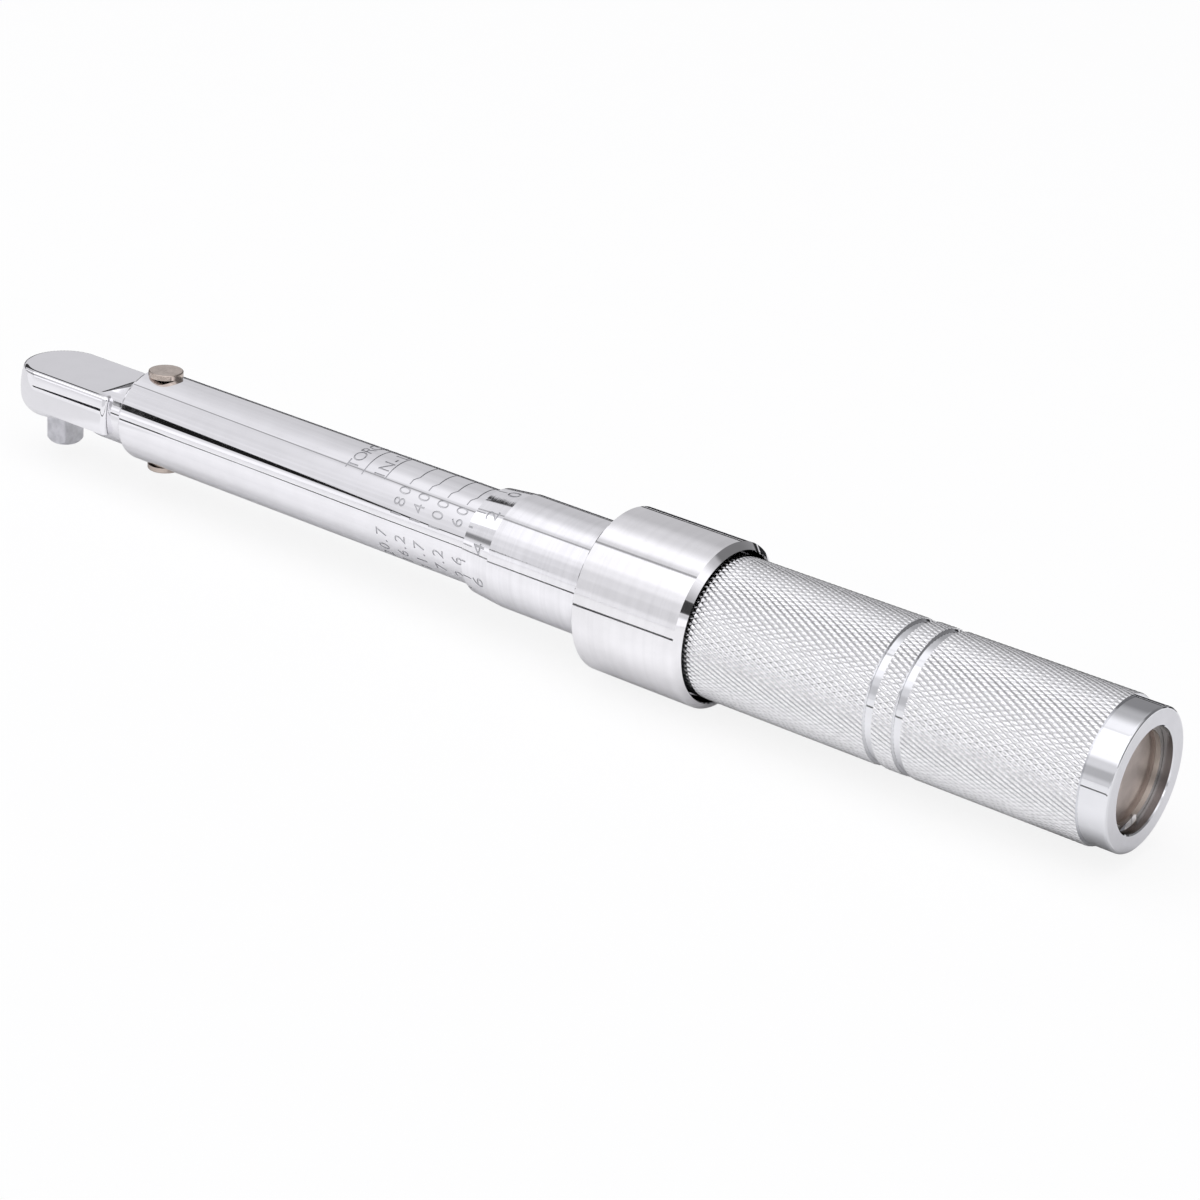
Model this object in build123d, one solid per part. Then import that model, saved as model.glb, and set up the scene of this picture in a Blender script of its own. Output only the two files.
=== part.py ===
"""Click-type torque wrench with a micrometer thimble: a fixed square-drive head that
pivots in a tube, and a knurled handle that screws along the tube to load the spring.

Frame, in millimetres: X runs from the head to the handle, Z is up and the square drive
points down. The origin is the centre of the drive's seating face, under the head.
Stations along the wrench are X values, and radii are about the tube's axis.
"""
import math
import os

from build123d import *

# Driving sizes of the head and the square drive
DRIVE_SQUARE = 6.35
DRIVE_LENGTH = 8.6
DRIVE_CORNER = 0.6
DRIVE_TIP_R = 3.1
DRIVE_TURNED_R = 4.55
DRIVE_TIP_ROUND = 1.8
DRIVE_TIP_ARC_R = 2.7
DRIVE_SHANK_R = 4.9
DRIVE_SHANK_LENGTH = 7.6
HEAD_HALF_WIDTH = 10.4
HEAD_CROWN_R = 18.0
HEAD_CROWN_DROP = 0.9
HEAD_TOP = 4.85
HEAD_UNDERSIDE = 4.25
BOSS_DROP = 6.0
BOSS_FACE_R = 8.5
BOSS_ROUND = 5.0
BOSS_ROUND_START = 3.0
HEAD_EDGE_ROUND = 1.1
HEAD_REAR_ROUND = 1.3
SHOULDER_X = 23.7
TOP_RAMP_ANGLE = 21.0
TOP_RAMP_FOOT_X = 20.2
UNDER_RAMP_ANGLE = 45.0
UNDER_RAMP_FOOT_X = 13.9
RAMP_ROOT_ROUND = 3.0
COLLAR_LENGTH_OUTSIDE = 4.5

# Driving sizes of the detent ball in the square
DETENT_BALL_R = 1.25
DETENT_BALL_DROP = 4.6
DETENT_PROUD = 0.75
DETENT_HOLE_DEPTH = 5.0
DETENT_WIRE = 0.3
DETENT_TURNS = 2

# Driving sizes of the tube, its pivot pin and the adjusting nut
TUBE_R = 10.7
TUBE_WALL = 1.35
TUBE_FRONT_ROUND = 0.8
PIVOT_FROM_TUBE_FRONT = 5.0
PIN_R = 2.5
PIN_HEAD_R = 4.0
PIN_HEAD_THICKNESS = 1.26
PIN_HEAD_ROUND = 0.3
PIN_SCREW_R = 1.4
PIN_SCREW_LENGTH = 7.0
NUT_LENGTH = 18.0
NUT_PIN_R = 1.2
NUT_PIN_LENGTH = 4.2

# Driving sizes of the click mechanism
LEVER_LENGTH = 40.0
LEVER_ROOT_WIDTH = 11.0
LEVER_TIP_WIDTH = 6.4
LEVER_HEIGHT = 10.0
SHANK_PAST_PIVOT = 6.6
BLOCK_LENGTH = 6.0
BLOCK_END_R = 1.5
BLOCK_WEB = 1.8
BLOCK_HEIGHT = 8.0
PLUNGER_NOSE_R = 6.0
PLUNGER_NOSE = 3.0
PLUNGER_LENGTH = 12.0
SPIGOT_LENGTH = 4.0
SPRING_LENGTH = 99.0
SPRING_TURNS = 15
SPRING_WIRE_RADIAL = 2.4
SPRING_WIRE_AXIAL = 3.0
SEAT_LENGTH = 6.0
THRUST_BALL_R = 2.5
THRUST_BALL_SHOWN = 0.9

# Driving sizes of the handle, from its thimble edge to its end face
THREAD_LEAD = 2.75
THREAD_TURNS = 8
TRAVEL_SPARE = 1.8
SCREW_R = 5.0
SCREW_TIP_R = 4.4
SCREW_TIP_LENGTH = 3.0
SCREW_FLANGE_R = 7.6
SCREW_FLANGE = 2.0
SCREW_STUD_R = 4.0
WEB_THICKNESS = 8.0
LOCK_NUT_FLATS = 13.0
LOCK_NUT_THICKNESS = 5.5
SCREW_PAST_NUT = 0.8
THIMBLE_FRONT_X = 132.4
THIMBLE_EDGE_WALL = 1.1
THIMBLE_WALL = 1.86
THIMBLE_BEVEL = 7.5
GRIP_FRONT_X = 188.0
GRIP_R = 15.22
GRIP_LENGTH = 94.4
GRIP_EDGE = 0.3
GROOVE_FIRST = 47.5
GROOVE_PITCH = 6.6
GROOVE_WIDTH = 2.1
GROOVE_DEPTH = 0.65
GROOVE_FLANK = 0.25
GROOVE_COUNT = 2
BAND_R = 14.62
BAND_LENGTH = 6.2
BAND_ROUND = 0.6
END_BORE_R = 10.69
END_BORE_EDGE = 0.25
END_BORE_DEPTH = 5.0
NUT_ROOM_R = 9.6
PLUG_THICKNESS = 1.7
PLUG_DISH = 0.6
PLUG_RIM_UNDER_RING = 0.2
END_RING_THICKNESS = 1.0
END_RING_INNER_R = 9.5
END_RING_GROOVE_DEPTH = 0.85
END_RING_GAP_ANGLE = 36.0

# Driving sizes of the lock ring and what holds and drives it
LOCK_RING_X = 166.2
LOCK_RING_R = 17.79
LOCK_RING_LENGTH = 27.2
LOCK_RING_FRONT_CHAMFER = 0.5
LOCK_RING_REAR_BEVEL = 1.4
LOCK_RING_REAR_STEP = 1.2
LOCK_RING_LIP = 0.2
LOCK_RING_MOUTH = 0.3
LOCK_TRAVEL = 5.0
LOCK_TRAVEL_SPARE = 0.7
FRONT_LAND = 2.0
BALL_LAND = 3.0
LOCK_BALL_COUNT = 4
CLIP_THICKNESS = 1.0
CLIP_STAND = 0.98
CLIP_GROOVE_DEPTH = 0.7
CLIP_REST_GAP = 0.3
CLIP_GAP_ANGLE = 40.0
LOCK_SPRING_WIRE = 1.1
LOCK_SPRING_TURNS = 3

# Clearances, all radial unless the name says otherwise
HEAD_IN_TUBE = 0.42
PIVOT_FIT = 0.06
PRESS_FIT = 0.02
SLIDE_FIT = 0.08
THREAD_FIT = 0.08
HANDLE_FIT = 0.06
LOCK_RING_FIT = 0.08
KNURL_ROOM = 0.95
BLOCK_FIT = 0.1
BALL_FIT = 0.05
SPRING_ROOM = 0.15
SPRING_IN_TUBE = 1.05
SPIGOT_IN_SPRING = 0.7
CLIP_ROOM = 0.6
AXIAL_FIT = 0.1

# How far a cut runs past the face it opens, and a joined piece into the one it grows from
OVERRUN = 1.0

# Worked out from the sizes above
AXIS_Z = BOSS_DROP
TUBE_FRONT_X = SHOULDER_X + COLLAR_LENGTH_OUTSIDE
TUBE_BORE_R = TUBE_R - TUBE_WALL
COLLAR_R = TUBE_BORE_R - HEAD_IN_TUBE
SPRING_MEAN_R = TUBE_BORE_R - SPRING_IN_TUBE - SPRING_WIRE_RADIAL / 2
SPIGOT_R = SPRING_MEAN_R - SPRING_WIRE_RADIAL / 2 - SPIGOT_IN_SPRING
PIVOT_X = TUBE_FRONT_X + PIVOT_FROM_TUBE_FRONT
LEVER_END_X = PIVOT_X + LEVER_LENGTH
BLOCK_HINGE_X = LEVER_END_X + BLOCK_LENGTH
PLUNGER_REAR_X = BLOCK_HINGE_X + PLUNGER_LENGTH
SPRING_REAR_X = PLUNGER_REAR_X + SPRING_LENGTH
SEAT_REAR_X = SPRING_REAR_X + SEAT_LENGTH
THRUST_BALL_X = SEAT_REAR_X + THRUST_BALL_SHOWN
SCREW_FRONT_X = THRUST_BALL_X + THRUST_BALL_R + BALL_FIT
HANDLE_TRAVEL = THREAD_LEAD * THREAD_TURNS
GRIP_REAR_X = GRIP_FRONT_X + GRIP_LENGTH
END_FACE_X = GRIP_REAR_X + BAND_LENGTH
END_SHOULDER_X = END_FACE_X - END_BORE_DEPTH
LOCK_NUT_FRONT_X = END_SHOULDER_X - SCREW_PAST_NUT - AXIAL_FIT - LOCK_NUT_THICKNESS
WEB_FRONT_X = LOCK_NUT_FRONT_X - WEB_THICKNESS
TUBE_REAR_X = WEB_FRONT_X - SCREW_FLANGE - HANDLE_TRAVEL - TRAVEL_SPARE
NUT_FRONT_X = TUBE_REAR_X - NUT_LENGTH
NUT_PIN_X = TUBE_REAR_X - NUT_LENGTH / 2
HANDLE_BORE_R = TUBE_R + HANDLE_FIT
THIMBLE_EDGE_R = HANDLE_BORE_R + THIMBLE_EDGE_WALL
THIMBLE_R = HANDLE_BORE_R + THIMBLE_WALL
PLUG_REAR_X = END_SHOULDER_X + PLUG_THICKNESS
END_RING_X = PLUG_REAR_X + AXIAL_FIT
LOCK_RING_END_X = LOCK_RING_X + LOCK_RING_LENGTH
LOCK_LAND_R = THIMBLE_R + LOCK_RING_FIT
RECESS_FRONT_X = LOCK_RING_X + FRONT_LAND
RECESS_END_X = RECESS_FRONT_X + LOCK_TRAVEL_SPARE + LOCK_TRAVEL + CLIP_THICKNESS + CLIP_REST_GAP
BALL_LAND_END_X = RECESS_END_X + BALL_LAND
CLIP_X = RECESS_END_X - CLIP_REST_GAP - CLIP_THICKNESS
CLIP_GROOVE_R = THIMBLE_R - CLIP_GROOVE_DEPTH
CLIP_R = THIMBLE_R + CLIP_STAND
RECESS_R = CLIP_R + CLIP_ROOM
LOCK_RING_REAR_BORE_R = GRIP_R + KNURL_ROOM
LOCK_BALL_X = RECESS_END_X + BALL_LAND / 2
LOCK_BALL_R = (THIMBLE_R - PRESS_FIT - TUBE_R - AXIAL_FIT) / 2
LOCK_BALL_CENTRE_R = THIMBLE_R - LOCK_BALL_R - PRESS_FIT
DRIVE_TIP_Z = -DRIVE_LENGTH
DETENT_Z = -DETENT_BALL_DROP
DETENT_BALL_Y = DRIVE_SQUARE / 2 + DETENT_PROUD - DETENT_BALL_R
DETENT_FLOOR_Y = DRIVE_SQUARE / 2 - DETENT_HOLE_DEPTH


def turned(*profile):
    """Solid turned about the tube's axis from (station, radius) points."""
    outline = make_face(Polyline(*profile, close=True))
    return Pos(0, 0, AXIS_Z) * revolve(outline, Axis.X, 360)


def rod(radius, start, length, direction):
    """Round bar from a start point along a direction."""
    plane = Plane(origin=start, z_dir=direction)
    return plane * extrude(Circle(radius), length)


def ball(radius, centre):
    """Sphere turned about the X direction, so that it seats cleanly in a turned piece."""
    half_disc = make_face(
        ThreePointArc((-radius, 0), (0, radius), (radius, 0)) + Line((radius, 0), (-radius, 0)))
    return Pos(*centre) * revolve(half_disc, Axis.X, 360)


def upright_bar(radius, x, y, z_low, z_high):
    return rod(radius, (x, y, z_low), z_high - z_low, (0, 0, 1))


def open_ring(x, thickness, inner_r, outer_r, gap_angle, gap_at):
    """Flat retaining ring with a gap, gap_at degrees round from +Y towards +Z."""
    ring = turned((x, inner_r), (x + thickness, inner_r), (x + thickness, outer_r), (x, outer_r))
    reach = 2 * outer_r
    half_gap = math.radians(gap_angle / 2)
    sector = make_face(Polyline(
        (0, 0), (reach, -reach * math.tan(half_gap)), (reach, reach * math.tan(half_gap)), close=True))
    end_view = Plane(origin=(x - thickness, 0, AXIS_Z), x_dir=(0, 1, 0), z_dir=(1, 0, 0))
    return ring - end_view * (Rot(0, 0, gap_at) * extrude(sector, 3 * thickness))


def coil(start, direction, length, turns, mean_r, radial, axial):
    """Spring of flat wire, its ends inside the given length."""
    pitch = (length - axial) / turns
    path = Helix(pitch=pitch, height=length - axial, radius=mean_r)
    wire = Plane(origin=path @ 0, x_dir=(1, 0, 0), z_dir=path % 0) * Rectangle(radial, axial)
    spring = sweep(wire, path=path, is_frenet=True)
    return Plane(origin=start, z_dir=direction) * (Pos(0, 0, axial / 2) * spring)


def crown(height):
    """Half-width of the head's crowned side at a height over the tube's axis."""
    from_widest = height + HEAD_CROWN_DROP
    return HEAD_HALF_WIDTH - HEAD_CROWN_R + math.sqrt(HEAD_CROWN_R ** 2 - from_widest ** 2)


def head_end():
    """Round end of the head, turned about the drive's axis, with the boss under it."""
    top_edge = (crown(HEAD_TOP), AXIS_Z + HEAD_TOP)
    side_middle = (HEAD_HALF_WIDTH, AXIS_Z - HEAD_CROWN_DROP)
    round_start = (crown(-BOSS_ROUND_START), AXIS_Z - BOSS_ROUND_START)
    boss_edge = (BOSS_FACE_R, 0)
    outline = Plane.XZ * make_face(
        Line((0, 0), (0, AXIS_Z + HEAD_TOP))
        + Line((0, AXIS_Z + HEAD_TOP), top_edge)
        + ThreePointArc(top_edge, side_middle, round_start)
        + RadiusArc(round_start, boss_edge, BOSS_ROUND)
        + Line(boss_edge, (0, 0)))
    return revolve(outline, Axis.Z, 360)


def head_bar():
    """Straight part of the head: crowned sides between the two milled flats."""
    top = AXIS_Z + HEAD_TOP
    bottom = AXIS_Z - HEAD_UNDERSIDE
    widest = AXIS_Z - HEAD_CROWN_DROP
    right_top = (crown(HEAD_TOP), top)
    right_bottom = (crown(-HEAD_UNDERSIDE), bottom)
    left_top = (-crown(HEAD_TOP), top)
    left_bottom = (-crown(-HEAD_UNDERSIDE), bottom)
    section = make_face(
        Line(left_top, right_top)
        + ThreePointArc(right_top, (HEAD_HALF_WIDTH, widest), right_bottom)
        + Line(right_bottom, left_bottom)
        + ThreePointArc(left_bottom, (-HEAD_HALF_WIDTH, widest), left_top))
    bar = extrude(Plane.YZ * section, SHOULDER_X)
    rear_corners = bar.faces().sort_by(Axis.X)[-1].edges().filter_by(GeomType.CIRCLE)
    return fillet(rear_corners, HEAD_REAR_ROUND)


def head_shank():
    """Round collar and shank on the tube's axis, with ramps down to the two flats."""
    end_x = PIVOT_X + SHANK_PAST_PIVOT
    shank = turned((HEAD_HALF_WIDTH, 0), (end_x, 0), (end_x, COLLAR_R), (HEAD_HALF_WIDTH, COLLAR_R))
    over = COLLAR_R + OVERRUN
    top_run = (over - HEAD_TOP) / math.tan(math.radians(TOP_RAMP_ANGLE))
    under_run = (over - HEAD_UNDERSIDE) / math.tan(math.radians(UNDER_RAMP_ANGLE))
    flat_ends = [(TOP_RAMP_FOOT_X, AXIS_Z + HEAD_TOP), (UNDER_RAMP_FOOT_X, AXIS_Z - HEAD_UNDERSIDE)]
    view = Polyline(
        (0, AXIS_Z + HEAD_TOP), flat_ends[0], (TOP_RAMP_FOOT_X + top_run, AXIS_Z + over),
        (end_x + OVERRUN, AXIS_Z + over), (end_x + OVERRUN, AXIS_Z - over),
        (UNDER_RAMP_FOOT_X + under_run, AXIS_Z - over), flat_ends[1],
        (0, AXIS_Z - HEAD_UNDERSIDE), close=True)
    outline = make_face(view)
    feet = [outline.vertices().sort_by_distance((x, y, 0))[0] for x, y in flat_ends]
    outline = fillet(feet, RAMP_ROOT_ROUND)
    slab = extrude(Plane.XZ * outline, COLLAR_R + OVERRUN, both=True)
    return shank & slab


def lever():
    """Tail of the head inside the tube, tapering to the socket of the tilt block."""
    start_x = PIVOT_X + SHANK_PAST_PIVOT - OVERRUN
    plan = make_face(Polyline(
        (start_x, -LEVER_ROOT_WIDTH / 2), (LEVER_END_X, -LEVER_TIP_WIDTH / 2),
        (LEVER_END_X, LEVER_TIP_WIDTH / 2), (start_x, LEVER_ROOT_WIDTH / 2), close=True))
    tail = Pos(0, 0, AXIS_Z) * extrude(plan, LEVER_HEIGHT / 2, both=True)
    return tail - block_socket(LEVER_END_X)


def block_socket(x):
    """Round socket across the tube for one end of the tilt block."""
    return upright_bar(BLOCK_END_R + BLOCK_FIT, x, 0, AXIS_Z - TUBE_R, AXIS_Z + TUBE_R)


def make_head():
    body = head_end() + head_bar()
    top_flat = body.faces().filter_by(Plane.XY).sort_by(Axis.Z)[-1]
    outline = [edge for edge in top_flat.edges() if edge.center().X < SHOULDER_X - HEAD_EDGE_ROUND]
    body = fillet(outline, HEAD_EDGE_ROUND) + head_shank() + lever()
    pin_hole = upright_bar(PIN_R + PIVOT_FIT, PIVOT_X, 0, AXIS_Z - 2 * COLLAR_R, AXIS_Z + 2 * COLLAR_R)
    drive_bore = upright_bar(DRIVE_SHANK_R + PRESS_FIT, 0, 0, -OVERRUN, DRIVE_SHANK_LENGTH + AXIAL_FIT)
    return body - pin_hole - drive_bore


def make_square_drive():
    square = extrude(RectangleRounded(DRIVE_SQUARE, DRIVE_SQUARE, DRIVE_CORNER), -DRIVE_LENGTH)
    shoulder_z = DRIVE_TIP_Z + DRIVE_TIP_ROUND
    outline = Plane.XZ * make_face(
        Line((0, DRIVE_TIP_Z), (DRIVE_TIP_R, DRIVE_TIP_Z))
        + RadiusArc((DRIVE_TIP_R, DRIVE_TIP_Z), (DRIVE_TURNED_R, shoulder_z), -DRIVE_TIP_ARC_R)
        + Line((DRIVE_TURNED_R, shoulder_z), (DRIVE_TURNED_R, 0))
        + Line((DRIVE_TURNED_R, 0), (0, 0))
        + Line((0, 0), (0, DRIVE_TIP_Z)))
    tang = square & revolve(outline, Axis.Z, 360)
    shank = upright_bar(DRIVE_SHANK_R, 0, 0, 0, DRIVE_SHANK_LENGTH)
    hole = rod(DETENT_BALL_R + BALL_FIT, (0, DETENT_FLOOR_Y, DETENT_Z), DRIVE_SQUARE, (0, 1, 0))
    return tang + shank - hole


def make_tube():
    barrel = turned(
        (TUBE_FRONT_X, TUBE_BORE_R), (TUBE_REAR_X, TUBE_BORE_R),
        (TUBE_REAR_X, TUBE_R), (TUBE_FRONT_X, TUBE_R))
    front_edges = barrel.edges().filter_by(GeomType.CIRCLE).group_by(Axis.X)[0]
    barrel = fillet(front_edges.sort_by(SortBy.RADIUS)[-1], TUBE_FRONT_ROUND)
    pin_holes = upright_bar(PIN_R + PRESS_FIT, PIVOT_X, 0, AXIS_Z - 2 * TUBE_R, AXIS_Z + 2 * TUBE_R)
    return barrel - pin_holes - nut_pin_hole()


def nut_pin_hole():
    """Cross hole through the tube and the adjusting nut for the two pins."""
    return rod(NUT_PIN_R + PRESS_FIT, (NUT_PIN_X, -2 * TUBE_R, AXIS_Z), 4 * TUBE_R, (0, 1, 0))


def pin_button(z_seat, z_face):
    """Flat round head of the pivot pin, its outer edge rounded."""
    low, high = sorted((z_seat, z_face))
    disc = upright_bar(PIN_HEAD_R, PIVOT_X, 0, low, high)
    rim = disc.edges().filter_by(GeomType.CIRCLE).sort_by(Axis.Z)[-1 if z_face > z_seat else 0]
    return fillet(rim, PIN_HEAD_ROUND)


def make_pivot_pin():
    shaft_end = AXIS_Z - TUBE_R
    seat = AXIS_Z + TUBE_R
    button = pin_button(seat, seat + PIN_HEAD_THICKNESS)
    shaft = upright_bar(PIN_R, PIVOT_X, 0, shaft_end, seat)
    tapped_end = shaft_end + PIN_SCREW_LENGTH + AXIAL_FIT
    tapped = upright_bar(PIN_SCREW_R + PRESS_FIT, PIVOT_X, 0, shaft_end, tapped_end)
    return button + shaft - tapped


def make_pivot_screw():
    seat = AXIS_Z - TUBE_R
    button = pin_button(seat, seat - PIN_HEAD_THICKNESS)
    shank = upright_bar(PIN_SCREW_R, PIVOT_X, 0, seat, seat + PIN_SCREW_LENGTH)
    return button + shank


def make_adjusting_nut():
    outer_r = TUBE_BORE_R - PRESS_FIT
    thread_r = SCREW_R + THREAD_FIT
    body = turned(
        (NUT_FRONT_X, thread_r), (TUBE_REAR_X, thread_r), (TUBE_REAR_X, outer_r), (NUT_FRONT_X, outer_r))
    return body - nut_pin_hole()


def make_nut_pin(side):
    outer_y = TUBE_R - AXIAL_FIT
    return rod(NUT_PIN_R, (NUT_PIN_X, side * outer_y, AXIS_Z), NUT_PIN_LENGTH, (0, -side, 0))


def make_tilt_block():
    low = AXIS_Z - BLOCK_HEIGHT / 2
    high = AXIS_Z + BLOCK_HEIGHT / 2
    web_plan = Pos((LEVER_END_X + BLOCK_HINGE_X) / 2, 0) * Rectangle(BLOCK_LENGTH, BLOCK_WEB)
    web = Pos(0, 0, low) * extrude(web_plan, BLOCK_HEIGHT)
    front = upright_bar(BLOCK_END_R, LEVER_END_X, 0, low, high)
    rear = upright_bar(BLOCK_END_R, BLOCK_HINGE_X, 0, low, high)
    return web + front + rear


def make_plunger():
    slide_r = TUBE_BORE_R - SLIDE_FIT
    nose_x = BLOCK_HINGE_X + PLUNGER_NOSE
    spigot_x = PLUNGER_REAR_X + SPIGOT_LENGTH
    body = turned(
        (BLOCK_HINGE_X, 0), (BLOCK_HINGE_X, PLUNGER_NOSE_R), (nose_x, PLUNGER_NOSE_R), (nose_x, slide_r),
        (PLUNGER_REAR_X, slide_r), (PLUNGER_REAR_X, SPIGOT_R), (spigot_x, SPIGOT_R), (spigot_x, 0))
    return body - block_socket(BLOCK_HINGE_X)


def make_main_spring():
    length = SPRING_LENGTH - 2 * SPRING_ROOM
    start = (PLUNGER_REAR_X + SPRING_ROOM, 0, AXIS_Z)
    return coil(
        start, (1, 0, 0), length, SPRING_TURNS, SPRING_MEAN_R, SPRING_WIRE_RADIAL, SPRING_WIRE_AXIAL)


def make_spring_seat():
    slide_r = TUBE_BORE_R - SLIDE_FIT
    spigot_x = SPRING_REAR_X - SPIGOT_LENGTH
    body = turned(
        (spigot_x, 0), (spigot_x, SPIGOT_R), (SPRING_REAR_X, SPIGOT_R), (SPRING_REAR_X, slide_r),
        (SEAT_REAR_X, slide_r), (SEAT_REAR_X, 0))
    return body - ball(THRUST_BALL_R + BALL_FIT, (THRUST_BALL_X, 0, AXIS_Z))


def make_adjusting_screw():
    tip_x = SCREW_FRONT_X + SCREW_TIP_LENGTH
    flange_x = WEB_FRONT_X - SCREW_FLANGE
    stud_x = LOCK_NUT_FRONT_X + LOCK_NUT_THICKNESS + SCREW_PAST_NUT
    return turned(
        (SCREW_FRONT_X, 0), (SCREW_FRONT_X, SCREW_TIP_R), (tip_x, SCREW_TIP_R), (tip_x, SCREW_R),
        (flange_x, SCREW_R), (flange_x, SCREW_FLANGE_R), (WEB_FRONT_X, SCREW_FLANGE_R),
        (WEB_FRONT_X, SCREW_STUD_R), (stud_x, SCREW_STUD_R), (stud_x, 0))


def make_lock_nut():
    hexagon = RegularPolygon(LOCK_NUT_FLATS / 2, 6, major_radius=False)
    plane = Plane(origin=(LOCK_NUT_FRONT_X, 0, AXIS_Z), z_dir=(1, 0, 0))
    return plane * extrude(hexagon - Circle(SCREW_STUD_R + PRESS_FIT), LOCK_NUT_THICKNESS)


def grip_outline():
    """Stations and radii of the knurled length, with its smooth turned grooves."""
    points = [(GRIP_FRONT_X, GRIP_R - GRIP_EDGE), (GRIP_FRONT_X + GRIP_EDGE, GRIP_R)]
    floor_r = GRIP_R - GROOVE_DEPTH
    for index in range(GROOVE_COUNT):
        start_x = GRIP_FRONT_X + GROOVE_FIRST + index * GROOVE_PITCH
        end_x = start_x + GROOVE_WIDTH
        points += [(start_x, GRIP_R), (start_x + GROOVE_FLANK, floor_r),
                   (end_x - GROOVE_FLANK, floor_r), (end_x, GRIP_R)]
    return points + [(GRIP_REAR_X - GRIP_EDGE, GRIP_R), (GRIP_REAR_X, BAND_R)]


def make_handle():
    """Thimble, knurled grip and end band, turned in one piece with the web for the screw."""
    groove_r = END_BORE_R + END_RING_GROOVE_DEPTH
    groove_start = END_RING_X - AXIAL_FIT / 2
    groove_end = END_RING_X + END_RING_THICKNESS + AXIAL_FIT / 2
    clip_start = CLIP_X - AXIAL_FIT / 2
    clip_end = CLIP_X + CLIP_THICKNESS + AXIAL_FIT / 2
    stud_hole_r = SCREW_STUD_R + PRESS_FIT
    outside = [(THIMBLE_FRONT_X, THIMBLE_EDGE_R), (THIMBLE_FRONT_X + THIMBLE_BEVEL, THIMBLE_R),
               (clip_start, THIMBLE_R), (clip_start, CLIP_GROOVE_R), (clip_end, CLIP_GROOVE_R),
               (clip_end, THIMBLE_R), (GRIP_FRONT_X, THIMBLE_R)]
    end_band = [(END_FACE_X, BAND_R), (END_FACE_X, END_BORE_R + END_BORE_EDGE),
                (END_FACE_X - END_BORE_EDGE, END_BORE_R)]
    inside = [(groove_end, END_BORE_R), (groove_end, groove_r), (groove_start, groove_r),
              (groove_start, END_BORE_R), (END_SHOULDER_X, END_BORE_R), (END_SHOULDER_X, NUT_ROOM_R),
              (LOCK_NUT_FRONT_X, NUT_ROOM_R), (LOCK_NUT_FRONT_X, stud_hole_r), (WEB_FRONT_X, stud_hole_r),
              (WEB_FRONT_X, HANDLE_BORE_R), (THIMBLE_FRONT_X, HANDLE_BORE_R)]
    sleeve = turned(*outside, *grip_outline(), *end_band, *inside)
    end_edges = sleeve.edges().filter_by(GeomType.CIRCLE).group_by(Axis.X)[-1]
    sleeve = fillet(end_edges.sort_by(SortBy.RADIUS)[-1], BAND_ROUND)
    for direction, start in lock_ball_seats():
        sleeve -= rod(LOCK_BALL_R + BALL_FIT, start, THIMBLE_R, direction)
    return sleeve


def lock_ball_seats():
    """Outward direction of each lock ball, and the point of the axis below it."""
    seats = []
    for index in range(LOCK_BALL_COUNT):
        angle = math.radians((index + 0.5) * 360 / LOCK_BALL_COUNT)
        seats.append(((0, math.cos(angle), math.sin(angle)), (LOCK_BALL_X, 0, AXIS_Z)))
    return seats


def make_lock_ball(index):
    direction, start = lock_ball_seats()[index]
    centre = [s + LOCK_BALL_CENTRE_R * d for s, d in zip(start, direction)]
    return ball(LOCK_BALL_R, centre)


def make_lock_ring():
    front = LOCK_RING_X
    end = LOCK_RING_END_X
    chamfer = LOCK_RING_FRONT_CHAMFER
    bore_r = LOCK_RING_REAR_BORE_R
    bevel_r = LOCK_RING_R - LOCK_RING_REAR_STEP
    return turned(
        (front, LOCK_RING_R - chamfer), (front + chamfer, LOCK_RING_R),
        (end - LOCK_RING_REAR_BEVEL, LOCK_RING_R), (end - LOCK_RING_LIP, bevel_r),
        (end, bevel_r - LOCK_RING_LIP), (end - LOCK_RING_MOUTH, bore_r), (BALL_LAND_END_X, bore_r),
        (BALL_LAND_END_X, LOCK_LAND_R), (RECESS_END_X, LOCK_LAND_R), (RECESS_END_X, RECESS_R),
        (RECESS_FRONT_X, RECESS_R), (RECESS_FRONT_X, LOCK_LAND_R), (front, LOCK_LAND_R))


def make_lock_spring():
    room = GRIP_FRONT_X - BALL_LAND_END_X - 2 * SPRING_ROOM
    mean_r = THIMBLE_R + SPRING_ROOM + LOCK_SPRING_WIRE / 2
    start = (BALL_LAND_END_X + SPRING_ROOM, 0, AXIS_Z)
    return coil(start, (1, 0, 0), room, LOCK_SPRING_TURNS, mean_r, LOCK_SPRING_WIRE, LOCK_SPRING_WIRE)


def make_stop_clip():
    return open_ring(CLIP_X, CLIP_THICKNESS, CLIP_GROOVE_R + PRESS_FIT, CLIP_R, CLIP_GAP_ANGLE, -90)


def make_end_plug():
    outer_r = END_BORE_R - PRESS_FIT
    dish_x = PLUG_REAR_X - PLUG_DISH
    dish_r = END_RING_INNER_R + PLUG_RIM_UNDER_RING
    return turned(
        (END_SHOULDER_X, 0), (END_SHOULDER_X, outer_r), (PLUG_REAR_X, outer_r),
        (PLUG_REAR_X, dish_r), (dish_x, dish_r), (dish_x, 0))


def make_end_ring():
    outer_r = END_BORE_R + END_RING_GROOVE_DEPTH - PRESS_FIT
    return open_ring(END_RING_X, END_RING_THICKNESS, END_RING_INNER_R, outer_r, END_RING_GAP_ANGLE, -90)


def make_detent_ball():
    return ball(DETENT_BALL_R, (0, DETENT_BALL_Y, DETENT_Z))


def make_detent_spring():
    length = DETENT_BALL_Y - DETENT_BALL_R - DETENT_FLOOR_Y - SPRING_ROOM
    mean_r = DETENT_BALL_R - DETENT_WIRE
    start = (0, DETENT_FLOOR_Y, DETENT_Z)
    return coil(start, (0, 1, 0), length, DETENT_TURNS, mean_r, DETENT_WIRE, DETENT_WIRE)


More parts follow.
